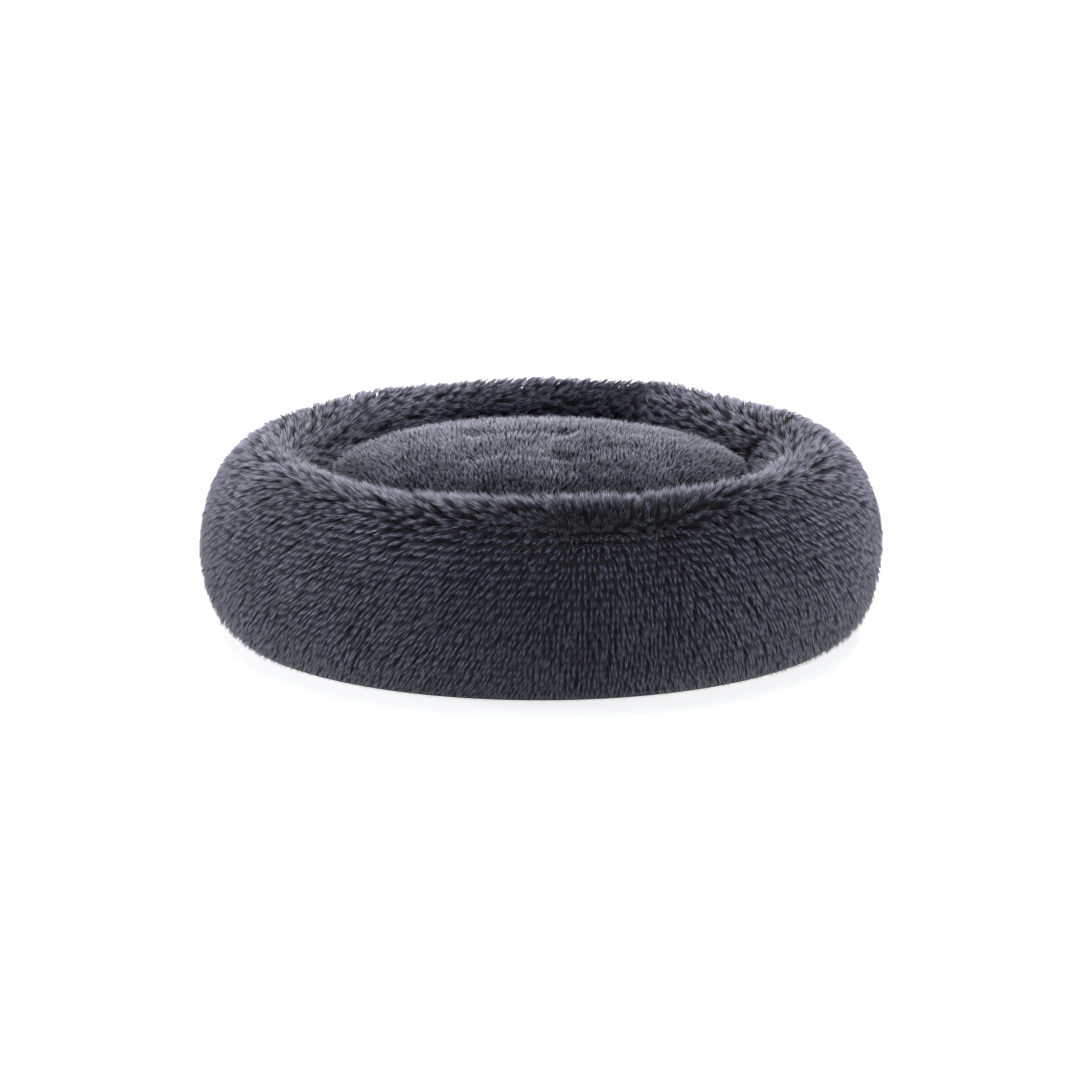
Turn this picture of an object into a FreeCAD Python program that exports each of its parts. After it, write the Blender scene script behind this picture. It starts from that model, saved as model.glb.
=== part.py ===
"""Round pet bed: a fur-covered rim filled with fibre, a sewn base and a loose, tacked cushion.

The rim's cover and the cushion's cover each close with a coil zip along their lower back edge.
Frame: +Z up, the front of the bed is -Y, the origin is the middle of the underside, on the floor.
Every solid of revolution is drawn in the plane of radius and height, then spun about Z.
"""

import FreeCAD
import Part

import math
import os

V = FreeCAD.Vector
os.makedirs("parts", exist_ok=True)

# ---------------------------------------------------------------- sizes, in millimetres
# Rim, measured over the tips of the laid fur
bed_diameter = 760.0
bed_height = 213.0
rim_width = 156.0  # from the outer fur to the inner fur, at the widest height
waist_height = 92.0  # where the rim is widest
belly_drop = 100.0  # half height of the oval below the waist, which the floor cuts off
pile_side = 18.0  # backing cloth and laid fur together, on the walls
pile_top = 20.0  # the same over the crest
pile_foot = 4.0  # how much less the inner oval drops than the outer one
panel_count = 4
first_seam = -70.0  # degrees from +X to the seam on the front wall, right of the middle

# Layers
layer_gap = 0.3  # between soft layers that lie on each other
bag_thickness = 1.0  # non-woven bag round each filling
dot_height = 0.8
dot_radius = 7.0
dot_rings = ((0.0, 1), (105.0, 6), (205.0, 12), (302.0, 18))  # radius and number of dots
base_thickness = 1.2
binding_width = 5.5
binding_height = 4.0
binding_overlap = 3.0  # how far the binding tape reaches in over the edge of the base cloth

# Cushion
cushion_gap = 3.0  # between the cushion's side and the rim, from the waist up
cushion_edge_drop = 48.0  # from the rim's crest down to the edge where the cushion's top begins
cushion_crown = 36.0  # height of the top over that edge
cushion_flat = 70.0  # radius of the level middle of the top
cushion_foot_inset = 31.0  # the foot is this much narrower than the waist
cushion_pile = 14.0
tack_across = 102.0  # between the ties, side to side
tack_deep = 130.0  # and from front to back
tack_shift = (-24.0, 15.0)  # the middle of the four ties from the middle of the bed
tie_radius = 1.0
tack_radius = 4.0  # of the knot at each end of a tie
tack_thickness = 2.0
tack_depth = 12.0  # how far the upper knots are drawn down into the fur
tack_lift = 4.0  # how far the lower knots are drawn up into the underside

# Zips: s runs up the tape, n out of it, both from the middle of the chain
zip_start = 30.0  # degrees from +X, so that the zip is at the back
zip_sweep = 120.0
rim_zip_height = 20.0
cushion_zip_height = 22.0
tape_reach = 12.2  # from the middle of the chain to the outer edge of a tape
tape_thickness = 0.8
coil_inner = 0.8
coil_outer = 2.6
coil_half_thickness = 1.0
stop_length = 3.0
slider_length = 12.0
slider_half_width = 4.6
slider_flange = 0.8
slider_plate = 1.2
slider_play = 0.4  # between the slider's plates and the coils
flange_play = 0.35  # between its flanges and the tape
neck_half_width = 0.5
neck_length = 3.0
lug_gap = 5.2  # between the two posts that carry the pull's pin
lug_post = 1.2
lug_half_width = 1.0
pin_radius = 0.7
pin_lift = 1.8  # from the outer plate to the middle of the pin
eye_bore = 1.0
eye_wall = 0.6
eye_play = 0.4  # at each side of the eye, between the posts
pull_thickness = 1.0
pull_length = 13.0
pull_shoulder = 4.5  # where the pull widens
pull_width = 6.6
pull_corner = 2.0  # rounding of its two lower corners
cut_spare = 1.0  # how far a cutting tool reaches past what it cuts

# Care label
label_angle = 162.0
label_width = 24.0
label_length = 18.0
label_thickness = 0.5
label_height = 5.0

# ---------------------------------------------------------------- worked out from those
rim_half = rim_width / 2
rim_radius = bed_diameter / 2 - rim_half  # the middle of the rim's section
rim_rise = bed_height - waist_height
base_low = dot_height
base_top = base_low + base_thickness
cushion_low = base_top + layer_gap
cushion_foot = rim_radius - rim_half - cushion_gap - cushion_foot_inset
cushion_edge_height = bed_height - cushion_edge_drop
cushion_top = cushion_edge_height + cushion_crown
foot_seat = base_top + layer_gap  # where the rim's panels stand on the base cloth


# ---------------------------------------------------------------- drawing
def line(a, b):
    """An edge between two (radius, height) points."""
    return Part.LineSegment(V(a[0], a[1], 0), V(b[0], b[1], 0)).toShape()


def oval_arc(centre, half_width, half_height, start, end):
    """Part of an upright oval, between two of its own angles in degrees, counter-clockwise."""
    tall = half_height > half_width
    oval = Part.Ellipse(V(*centre, 0), max(half_width, half_height), min(half_width, half_height))
    turn = 0.0
    if tall:
        oval.AngleXU = math.pi / 2
        turn = -90.0
    return Part.ArcOfEllipse(oval, math.radians(start + turn), math.radians(end + turn)).toShape()


def spin(edges, start=0.0, sweep=360.0):
    """The solid that a closed outline makes when it is spun about Z, from one angle over another."""
    face = Part.Face(Part.Wire(Part.__sortEdges__(edges)))
    solid = face.revolve(V(0, 0, 0), V(0, 1, 0), sweep)
    solid.rotate(V(0, 0, 0), V(1, 0, 0), 90)
    solid.rotate(V(0, 0, 0), V(0, 0, 1), start)
    return solid


def polygon(points):
    return [line(a, b) for a, b in zip(points, points[1:] + points[:1])]


def ring_box(inner, outer, low, high, start=0.0, sweep=360.0):
    """A ring or disc with a square section."""
    return spin(polygon([(inner, low), (outer, low), (outer, high), (inner, high)]), start, sweep)


def placed(shape, angle):
    """A copy turned about Z."""
    turned = shape.copy()
    turned.rotate(V(0, 0, 0), V(0, 0, 1), angle)
    return turned


def export(name, solids):
    """Writes one node. Several solids go out side by side as one compound."""
    solids = [piece for shape in solids for piece in shape.Solids]
    for piece in solids:
        if not piece.isValid() or piece.Volume <= 0:
            raise ValueError(f"{name} has a faulty solid")
    whole = solids[0] if len(solids) == 1 else Part.makeCompound(solids)
    whole.exportStep(f"parts/{name}.step")
    volume = sum(piece.Volume for piece in solids)
    print(f"{name}: {len(solids)} solids, {volume / 1000:.2f} cm3")


# ---------------------------------------------------------------- the rim's section
def arch(half_width, rise, drop, foot):
    """The rim's outline from its outer foot, over the crest, to its inner foot: edges and foot half width."""
    dip = math.degrees(math.asin((waist_height - foot) / drop))
    centre = (rim_radius, waist_height)
    edges = [
        oval_arc(centre, half_width, drop, -dip, 0),
        oval_arc(centre, half_width, rise, 0, 180),
        oval_arc(centre, half_width, drop, 180, 180 + dip),
    ]
    return edges, half_width * math.cos(math.radians(dip))


def closed_arch(inset, foot):
    """The rim's outline inside the fur, brought in by inset all round and closed along the floor."""
    edges, foot_half = arch(
        rim_half - pile_side - inset, rim_rise - pile_top - inset, belly_drop - pile_foot - inset, foot
    )
    return edges + [line((rim_radius - foot_half, foot), (rim_radius + foot_half, foot))]


def rim_wall(half_width, drop, height):
    """Radius of the rim's outer wall at a height below the waist, and the wall's lean from level."""
    low = (waist_height - height) / drop
    out = math.sqrt(1 - low * low)
    return rim_radius + half_width * out, math.atan2(drop * out, half_width * low)


def fur_section():
    """The section of the fur panels: the outer outline, the inner one and the two feet."""
    outer, outer_foot = arch(rim_half, rim_rise, belly_drop, foot_seat)
    inner, inner_foot = arch(
        rim_half - pile_side, rim_rise - pile_top, belly_drop - pile_foot, foot_seat
    )
    feet = [
        line((rim_radius + side * inner_foot, foot_seat), (rim_radius + side * outer_foot, foot_seat))
        for side in (-1, 1)
    ]
    return outer + inner + feet


# ---------------------------------------------------------------- the cushion's section
def edge_dip(inset):
    """How far round the rim's oval the cushion's side reaches, in degrees up from the waist."""
    return math.degrees(math.asin((cushion_edge_height - waist_height) / (rim_rise + cushion_gap + inset)))


def edge_radius(inset):
    """Radius of the cushion's edge, where its side leaves the rim and the top begins."""
    return rim_radius - (rim_half + cushion_gap + inset) * math.cos(math.radians(edge_dip(inset)))


def top_height(radius):
    """Height of the cushion's top over the tips of its fur."""
    out = max(0.0, radius - cushion_flat) / (edge_radius(0) - cushion_flat)
    return cushion_edge_height + cushion_crown * math.sqrt(1 - out * out)


def cushion_side(inset, foot):
    """The cushion's outline from its foot to the middle of its top, brought in by inset."""
    drop = waist_height - cushion_low
    dip = math.degrees(math.asin((waist_height - foot) / drop))
    foot_middle = cushion_foot - inset
    top = cushion_top - inset
    side = (rim_half + cushion_gap + inset, rim_rise + cushion_gap + inset)
    edges = [
        oval_arc((foot_middle, waist_height), cushion_foot_inset, drop, -dip, 0),
        oval_arc((rim_radius, waist_height), *side, 180 - edge_dip(inset), 180),
        oval_arc(
            (cushion_flat, cushion_edge_height), edge_radius(inset) - cushion_flat,
            cushion_crown - inset, 0, 90
        ),
        line((cushion_flat, top), (0, top)),
    ]
    foot_radius = foot_middle + cushion_foot_inset * math.cos(math.radians(dip))
    return edges, foot_radius, top


def cushion_wall(height):
    """Radius of the cushion's lower side at a height, in the middle of its fur, and its lean from level."""
    drop = waist_height - cushion_low
    low = (waist_height - height) / drop
    out = math.sqrt(1 - low * low)
    radius = cushion_foot - cushion_pile / 2 + cushion_foot_inset * out
    return radius, math.atan2(drop * out, cushion_foot_inset * low)


def closed_cushion(inset, foot):
    """The cushion's outline inside the fur, closed along its foot and along the axis."""
    edges, foot_radius, top = cushion_side(cushion_pile + inset, foot)
    return edges + [line((0, foot), (foot_radius, foot)), line((0, foot), (0, top))]


# ---------------------------------------------------------------- zips
class Zip:
    """A coil zip on a cone round the Z axis: the middle of its chain, its lean, and where it starts."""

    def __init__(self, name, radius, height, lean):
        self.name = name
        self.radius = radius
        self.height = height
        self.up = (math.cos(lean), math.sin(lean))
        self.out = (math.sin(lean), -math.cos(lean))

    def point(self, s, n):
        return (
            self.radius + s * self.up[0] + n * self.out[0],
            self.height + s * self.up[1] + n * self.out[1],
        )

    def bar(self, s_low, s_high, n_low, n_high, start, sweep):
        corners = [(s_low, n_low), (s_high, n_low), (s_high, n_high), (s_low, n_high)]
        return spin(polygon([self.point(s, n) for s, n in corners]), start, sweep)

    def degrees(self, length):
        return math.degrees(length / self.radius)

    def opening(self):
        """What the zip's tapes replace in the fur round them."""
        depth = 3 * pile_side
        return self.bar(-tape_reach, tape_reach, -depth, depth, zip_start, zip_sweep)

    def stringers(self):
        """A tape and a coil on each side of the chain."""
        for side, word in ((1, "upper"), (-1, "lower")):
            tape = sorted((side * coil_outer, side * tape_reach))
            coil = sorted((side * coil_inner, side * coil_outer))
            half = tape_thickness / 2
            thick = coil_half_thickness
            ends = self.degrees(stop_length)
            export(f"{self.name}_tape_{word}", [self.bar(*tape, -half, half, zip_start, zip_sweep)])
            export(
                f"{self.name}_coil_{word}",
                [self.bar(*coil, -thick, thick, zip_start + ends, zip_sweep - 2 * ends)],
            )

    def stops(self):
        """A crimped stop across the chain at each end."""
        turn = self.degrees(stop_length)
        thick = coil_half_thickness
        export(f"{self.name}_stops", [
            self.bar(-coil_outer, coil_outer, -thick, thick, start, turn)
            for start in (zip_start, zip_start + zip_sweep - turn)
        ])

    def rest_angle(self):
        """Where the middle of the slider is when the zip is closed."""
        spare = self.degrees(stop_length + slider_length / 2 + layer_gap)
        return zip_start + zip_sweep - spare

    def travel(self):
        """How far the slider turns about Z to open the zip."""
        return zip_sweep - 2 * self.degrees(stop_length + slider_length / 2 + layer_gap)

    def plate_top(self):
        return coil_half_thickness + slider_play + slider_plate

    def pin_place(self):
        return self.point(0, self.plate_top() + pin_lift)

    def slider(self):
        """Two plates joined by a neck between the coils, flanges round the tapes, and a lug for the pull."""
        turn = self.degrees(slider_length)
        start = self.rest_angle() - turn / 2
        near = coil_half_thickness + slider_play
        far = self.plate_top()
        wide = slider_half_width
        slot = tape_thickness / 2 + flange_play
        body = self.bar(-wide, wide, near, far, start, turn)
        body = body.fuse(self.bar(-wide, wide, -far, -near, start, turn))
        for side in (-1, 1):
            edges = sorted((side * wide, side * (wide - slider_flange)))
            body = body.fuse(self.bar(*edges, slot, near, start, turn))
            body = body.fuse(self.bar(*edges, -near, -slot, start, turn))
        neck = self.bar(
            -neck_half_width, neck_half_width, -near, near, start + turn - self.degrees(neck_length),
            self.degrees(neck_length),
        )
        body = body.fuse(neck)
        for side in (-1, 1):
            middle = self.rest_angle() + side * self.degrees((lug_gap + lug_post) / 2)
            post = self.bar(
                -lug_half_width, lug_half_width, far, far + pin_lift + pin_radius,
                middle - self.degrees(lug_post / 2), self.degrees(lug_post),
            )
            body = body.fuse(post)
        r, z = self.pin_place()
        span = lug_gap + lug_post
        pin = Part.makeCylinder(pin_radius, span, V(r, -span / 2, z), V(0, 1, 0))
        body = body.fuse(placed(pin, self.rest_angle()))
        export(f"{self.name}_slider", [body.removeSplitter()])

    def pull(self):
        """The pull hangs straight down from the slider's pin."""
        r, z = self.pin_place()
        eye_width = lug_gap - 2 * eye_play
        outer = eye_bore + eye_wall
        eye = Part.makeCylinder(outer, eye_width, V(r, -eye_width / 2, z), V(0, 1, 0))
        half = pull_thickness / 2
        stem = Part.makeBox(
            pull_thickness, eye_width, pull_shoulder, V(r - half, -eye_width / 2, z - pull_shoulder)
        )
        grip = Part.makeBox(
            pull_thickness, pull_width, pull_length - pull_shoulder,
            V(r - half, -pull_width / 2, z - pull_length),
        )
        corners = [
            e for e in grip.Edges
            if abs(e.Vertexes[0].X - e.Vertexes[1].X) > half and e.CenterOfMass.z < z - pull_length + half
        ]
        grip = grip.makeFillet(pull_corner, corners)
        bore = Part.makeCylinder(
            eye_bore, eye_width + 2 * cut_spare, V(r, -eye_width / 2 - cut_spare, z), V(0, 1, 0)
        )
        whole = eye.fuse(stem).fuse(grip).cut(bore).removeSplitter()
        export(f"{self.name}_pull", [placed(whole, self.rest_angle())])

    def make(self):
        self.stringers()
        self.stops()
        self.slider()
        self.pull()
        r, z = self.pin_place()
        angle = math.radians(self.rest_angle())
        place = (r * math.cos(angle), r * math.sin(angle), z)
        print(f"{self.name}: rest {self.rest_angle():.3f} deg, travel {self.travel():.3f} deg")
        print(f"{self.name}: pin at {place[0]:.4f} {place[1]:.4f} {place[2]:.4f}")


# ---------------------------------------------------------------- the parts
def make_base(outer_foot):
    """Base cloth, the binding tape round its edge and the printed dots under it."""
    edge = rim_radius + outer_foot
    cloth_radius = edge - binding_width + binding_overlap
    cloth = ring_box(0, cloth_radius, base_low, base_top)
    binding = ring_box(edge - binding_width, edge, base_low, base_low + binding_height)
    room = ring_box(
        edge - binding_width - layer_gap, edge + pile_side, 0, base_low + binding_height + layer_gap
    )
    slot = ring_box(0, cloth_radius + layer_gap, base_low - layer_gap, base_top + layer_gap)
    export("base_cloth", [cloth])
    export("base_binding", [binding.cut(slot)])
    dots = []
    for radius, count in dot_rings:
        for k in range(count):
            dot = Part.makeCylinder(dot_radius, dot_height, V(radius, 0, 0))
            dots.append(placed(dot, 360 * k / count))
    export("anti_slip_dots", dots)
    return room


def make_rim(rim_zip, room):
    """Four fur panels sewn end to end, and the filled bag inside them."""
    section = fur_section()
    sweep = 360 / panel_count
    for k, side in enumerate(("right", "back", "left", "front")):
        start = first_seam + sweep * k
        panel = spin(section, start, sweep)
        export(f"rim_fur_{side}", [panel.cut(rim_zip.opening()).cut(room)])
    bag_foot = foot_seat + layer_gap
    bag = spin(closed_arch(layer_gap, bag_foot))
    hollow = spin(closed_arch(layer_gap + bag_thickness, bag_foot + bag_thickness))
    export("rim_liner_bag", [bag.cut(hollow)])
    export("rim_filling", [
        spin(closed_arch(2 * layer_gap + bag_thickness, bag_foot + bag_thickness + layer_gap))
    ])


def tie_places():
    return [
        (tack_shift[0] + across * tack_across / 2, tack_shift[1] + back * tack_deep / 2)
        for across in (-1, 1)
        for back in (-1, 1)
    ]


def make_cushion(cushion_zip):
    """Fur cover, base cloth, filled bag, and the ties that hold the filling in place."""
    outer, outer_foot, top = cushion_side(0, cushion_low)
    inner, inner_foot, under = cushion_side(cushion_pile, cushion_low)
    closing = [line((inner_foot, cushion_low), (outer_foot, cushion_low)), line((0, under), (0, top))]
    cover = spin(outer + inner + closing).cut(cushion_zip.opening())
    cloth = ring_box(0, inner_foot - layer_gap, cushion_low, cushion_low + base_thickness)
    bag_foot = cushion_low + base_thickness + layer_gap
    bag = spin(closed_cushion(layer_gap, bag_foot))
    hollow = spin(closed_cushion(layer_gap + bag_thickness, bag_foot + bag_thickness))
    bag = bag.cut(hollow)
    filling = spin(closed_cushion(2 * layer_gap + bag_thickness, bag_foot + bag_thickness + layer_gap))
    ties = []
    for x, y in tie_places():
        high = top_height(math.hypot(x, y)) - tack_depth
        low = cushion_low + tack_lift
        tie = Part.makeCylinder(tie_radius, high - low, V(x, y, low))
        for z in (low, high - tack_thickness):
            tie = tie.fuse(Part.makeCylinder(tack_radius, tack_thickness, V(x, y, z)))
        ties.append(tie.removeSplitter())
        channel = Part.makeCylinder(tie_radius + layer_gap, cushion_top, V(x, y, 0))
        pocket = tack_radius + layer_gap
        upper = Part.makeCylinder(pocket, cushion_top, V(x, y, high - tack_thickness - layer_gap))
        lower = Part.makeCylinder(pocket, low + tack_thickness + layer_gap, V(x, y, 0))
        tools = channel.fuse(upper).fuse(lower)
        cover, cloth, bag, filling = (piece.cut(tools) for piece in (cover, cloth, bag, filling))
    export("cushion_fur_cover", [cover])
    export("cushion_base_cloth", [cloth])
    export("cushion_liner_bag", [bag])
    export("cushion_filling", [filling])
    export("cushion_tack_ties", ties)


def make_label():
    """A blank care label, sewn into the foot of the rim beside the zip."""
    root, _ = rim_wall(rim_half, belly_drop, label_height + label_thickness)
    label = Part.makeBox(
        label_length, label_width, label_thickness, V(root + layer_gap, -label_width / 2, label_height)
    )
    export("care_label", [placed(label, label_angle)])


def main():
    outer_wall, outer_lean = rim_wall(rim_half, belly_drop, rim_zip_height)
    inner_wall, inner_lean = rim_wall(rim_half - pile_side, belly_drop - pile_foot, rim_zip_height)
    rim_zip = Zip("rim_zip", (outer_wall + inner_wall) / 2, rim_zip_height, (outer_lean + inner_lean) / 2)
    cushion_radius, cushion_lean = cushion_wall(cushion_zip_height)
    cushion_zip = Zip("cushion_zip", cushion_radius, cushion_zip_height, cushion_lean)
    _, outer_foot = arch(rim_half, rim_rise, belly_drop, foot_seat)
    room = make_base(outer_foot)
    make_rim(rim_zip, room)
    make_cushion(cushion_zip)
    rim_zip.make()
    cushion_zip.make()
    make_label()


main()
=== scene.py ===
"""Round pet bed: a shaggy fur rim and a loose fur cushion on a sewn base, finished for rendering."""

import math

import bpy
import numpy as np
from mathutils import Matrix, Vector, noise
from mathutils.bvhtree import BVHTree


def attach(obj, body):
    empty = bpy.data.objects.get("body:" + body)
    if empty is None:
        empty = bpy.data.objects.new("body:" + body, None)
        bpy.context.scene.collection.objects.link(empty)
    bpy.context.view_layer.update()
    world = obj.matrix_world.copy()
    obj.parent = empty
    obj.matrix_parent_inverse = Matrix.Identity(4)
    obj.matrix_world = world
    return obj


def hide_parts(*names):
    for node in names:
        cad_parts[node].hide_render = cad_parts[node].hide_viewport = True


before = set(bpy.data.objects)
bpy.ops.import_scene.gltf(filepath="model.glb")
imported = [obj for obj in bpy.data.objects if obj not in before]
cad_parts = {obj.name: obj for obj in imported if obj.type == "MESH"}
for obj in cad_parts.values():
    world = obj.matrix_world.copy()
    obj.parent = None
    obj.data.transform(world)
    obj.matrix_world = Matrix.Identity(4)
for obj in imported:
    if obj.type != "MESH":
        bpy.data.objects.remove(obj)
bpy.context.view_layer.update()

MM = 0.001
PANELS = ("right", "back", "left", "front")


# ------------------------------------------------------------------ sizes read from the frame
def corners(*nodes):
    """Every corner of some CAD nodes, one row each, in metres."""
    found = []
    for node in nodes:
        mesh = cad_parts[node].data
        flat = np.empty(len(mesh.vertices) * 3)
        mesh.vertices.foreach_get("co", flat)
        found.append(flat.reshape(-1, 3))
    return np.concatenate(found)


def middles(spots, apart=20 * MM):
    """The middle, seen from above, of each group of corners that stands apart from the others."""
    found = []
    while len(spots):
        near = np.hypot(*(spots[:, :2] - spots[0, :2]).T) < apart
        found.append((spots[near, :2].max(0) + spots[near, :2].min(0)) / 2)
        spots = spots[~near]
    return found


class Rim:
    """The rim's section: upright half ovals over and under a waist, spun round Z."""

    def __init__(self):
        spots = corners(*("rim_fur_" + side for side in PANELS))
        radius = np.hypot(spots[:, 0], spots[:, 1])
        self.radius = (radius.max() + radius.min()) / 2
        self.half = (radius.max() - radius.min()) / 2
        self.waist = spots[radius > radius.max() - 0.05 * MM, 2].mean()
        self.foot = spots[:, 2].min()
        self.rise = spots[:, 2].max() - self.waist
        foot_radius = radius[spots[:, 2] < self.foot + 0.05 * MM].min()
        out = (self.radius - foot_radius) / self.half
        self.drop = (self.waist - self.foot) / math.sqrt(1 - out * out)

    def section(self, inset, count):
        """Radius and height of points along the section, evenly spaced, from outer to inner foot."""
        half, rise, drop = self.half - inset, self.rise - inset, self.drop - FOOT_TUCK
        dip = math.asin((self.waist - self.foot) / drop)
        turn = np.linspace(-dip, math.pi + dip, 2000)
        low = (turn < 0) | (turn > math.pi)
        r = self.radius + half * np.cos(turn)
        z = self.waist + np.where(low, drop, rise) * np.sin(turn)
        run = np.concatenate([[0], np.cumsum(np.hypot(np.diff(r), np.diff(z)))])
        even = np.linspace(0, run[-1], count)
        return np.interp(even, run, r), np.interp(even, run, z)


# Fur and cloth
FOOT_TUCK = 4 * MM  # how much less the cloth's oval drops than the fur's
CLOTH = 1.4 * MM  # backing cloth
RIM_PILE = 15.5 * MM  # from the slack backing cloth to the tips of the laid fur
CUSHION_PILE = 11.5 * MM
SWELL = 2.5 * MM  # the most that the filling pushes the cloth out
PRESSURE = 4.0  # of the filling while it swells
SWELL_STEPS = 20
LUMP_FADE = 40 * MM  # the lumps reach their full height this far above the floor
SEAM_DEPTH = 3 * MM
SEAM_WIDTH = 7 * MM
PARTING = math.radians(-70)  # the fur lies away from here on both sides
MEETING = math.radians(63)  # and meets here, at the back


# ------------------------------------------------------------------ nodes
class Wire:
    """A socket that arithmetic works on: each expression adds its own nodes."""

    def __init__(self, nodes, socket):
        self.nodes = nodes
        self.socket = socket

    def maths(self, operation, *terms):
        vectors = [
            isinstance(t, tuple) or isinstance(t, Wire) and t.socket.type in ("VECTOR", "RGBA")
            for t in terms
        ]
        kind = "ShaderNodeVectorMath" if any(vectors) else "ShaderNodeMath"
        if any(vectors):
            terms = [t if isinstance(t, (tuple, Wire)) else (t, t, t) for t in terms]
        return self.nodes.add(kind, {"operation": operation}, dict(enumerate(terms)))

    def __add__(self, other):
        return self.maths("ADD", self, other)

    def __radd__(self, other):
        return self.maths("ADD", other, self)

    def __sub__(self, other):
        return self.maths("SUBTRACT", self, other)

    def __rsub__(self, other):
        return self.maths("SUBTRACT", other, self)

    def __mul__(self, other):
        return self.maths("MULTIPLY", self, other)

    def dot(self, other):
        operation = {"operation": "DOT_PRODUCT"}
        return self.nodes.add("ShaderNodeVectorMath", operation, {0: self, 1: other}, "Value")

    def cross(self, other):
        return self.maths("CROSS_PRODUCT", self, other)

    def unit(self):
        return self.maths("NORMALIZE", self)

    def least(self, other):
        return self.maths("MINIMUM", self, other)

    def most(self, other):
        return self.maths("MAXIMUM", self, other)

    def wave(self):
        return self.maths("SINE", self)

    def parts(self):
        """The three numbers of a vector."""
        return [self.nodes.add("ShaderNodeSeparateXYZ", {}, {0: self}, k) for k in range(3)]

    def step(self, low, high):
        """0 below low, 1 above high and smooth between."""
        return self.nodes.add(
            "ShaderNodeMapRange", {"interpolation_type": "SMOOTHSTEP"},
            {"Value": self, "From Min": low, "From Max": high},
        )


class Nodes:
    """Adds nodes to one tree."""

    def __init__(self, tree):
        self.tree = tree

    def add(self, kind, settings, sockets, output=0):
        """One node: its settings first, then its sockets' values or links. Gives the asked output."""
        node = self.tree.nodes.new(kind)
        for name, value in settings.items():
            if name == "stops":
                self.ramp(node.color_ramp, value)
            else:
                setattr(node, name, value)
        for key, value in sockets.items():
            socket = self.find(node.inputs, key)
            if isinstance(value, Wire):
                self.tree.links.new(value.socket, socket)
            elif socket.type == "RGBA" and len(value) == 3:
                socket.default_value = (*value, 1)
            else:
                socket.default_value = value
        return Wire(self, self.find(node.outputs, output))

    def vector(self, x, y, z=0.0):
        return self.add("ShaderNodeCombineXYZ", {}, {0: x, 1: y, 2: z}, "Vector")

    def shape(self, kind, sockets, output="Geometry", **settings):
        """One geometry node."""
        return self.add("GeometryNode" + kind, settings, sockets, output)

    @staticmethod
    def find(sockets, key):
        if isinstance(key, int):
            return sockets[key]
        return next(s for s in sockets if s.name == key and s.enabled)

    @staticmethod
    def ramp(ramp, stops):
        while len(ramp.elements) < len(stops):
            ramp.elements.new(0.5)
        for element, (place, colour) in zip(ramp.elements, stops):
            element.position = place
            element.color = (*colour, 1)


# ------------------------------------------------------------------ materials
class Finish(Nodes):
    """A material with one Principled shader, whose plain values are set on its own sockets."""

    def __init__(self, name, **values):
        self.material = bpy.data.materials.new(name)
        self.material.use_nodes = True
        super().__init__(self.material.node_tree)
        self.shader = self.tree.nodes["Principled BSDF"]
        for key, value in values.items():
            self.shader.inputs[key.replace("_", " ")].default_value = value

    def feed(self, socket, wire):
        self.tree.links.new(wire.socket, self.shader.inputs[socket])

    def place(self):
        """Object coordinates, in metres."""
        return self.add("ShaderNodeTexCoord", {}, {}, "Object")

    def around(self):
        """The angle about Z, and the height."""
        x, y, z = self.place().parts()
        return self.add("ShaderNodeMath", {"operation": "ARCTAN2"}, {0: y, 1: x}), z

    def mix(self, share, low, high):
        return self.add(
            "ShaderNodeMix", {"data_type": "RGBA"}, {"Factor": share, "A": low, "B": high}, "Result"
        )

    def speckle(self, scale, detail=2.0, vector=None):
        return self.add(
            "ShaderNodeTexNoise", {}, {"Vector": vector or self.place(), "Scale": scale, "Detail": detail},
            "Fac",
        )

    def relief(self, height, depth):
        """Bump from a height between 0 and 1, depth metres at most."""
        self.feed("Normal", self.add(
            "ShaderNodeBump", {}, {"Height": height, "Distance": depth, "Strength": 1.0}, "Normal"
        ))


def fur_finish(name, root, middle, tip):
    """Fur: dark at the root and pale at the tip, each strand a little lighter or darker by its tone, which
    on the rim also holds painted light and shade.
    """
    f = Finish(name, Roughness=0.62, Sheen_Weight=0.25, Sheen_Roughness=0.45)
    f.shader.inputs["Specular IOR Level"].default_value = 0.3
    across, along, _ = f.add("ShaderNodeUVMap", {"uv_map": "OFBake"}, {}, "UV").parts()
    colour = f.add(
        "ShaderNodeValToRGB",
        {"stops": [(0.0, root), (0.42, root), (0.72, middle), (0.88, tip)]}, {"Fac": along}, "Color",
    )
    shade = 0.5 + across
    f.feed("Base Color", f.add(
        "ShaderNodeVectorMath", {"operation": "SCALE"}, {0: colour, "Scale": shade}, "Vector"
    ))
    return f.material


def backing_finish():
    """Knitted backing cloth under the fur: ribs with dark gaps."""
    f = Finish("fur_backing_knit", Roughness=0.9)
    around, z = f.around()
    rib = (around * 900).wave() * 0.5 + 0.5
    course = (z * 2400).wave() * 0.5 + 0.5
    f.feed("Base Color", f.mix(rib * course, (0.008, 0.008, 0.013), (0.03, 0.03, 0.042)))
    f.relief(rib * course, 0.4 * MM)
    return f.material


def weave_finish(name, low, high, pitch, roughness=0.85, depth=0.15 * MM):
    """Plain weave on object coordinates: threads pass over and under each other."""
    f = Finish(name, Roughness=roughness)
    x, y, _ = f.place().parts()
    turn = math.pi / pitch
    warp = (x * turn).wave()
    weft = (y * turn).wave()
    height = (warp * weft) * 0.5 + 0.5
    wear = f.speckle(9.0, 3.0)
    f.feed("Base Color", f.mix(height * 0.7 + wear * 0.3, low, high))
    f.relief(height, depth)
    return f.material


TAPE_RADIUS = 0.33  # metres, where the ribs are a pitch apart


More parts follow.
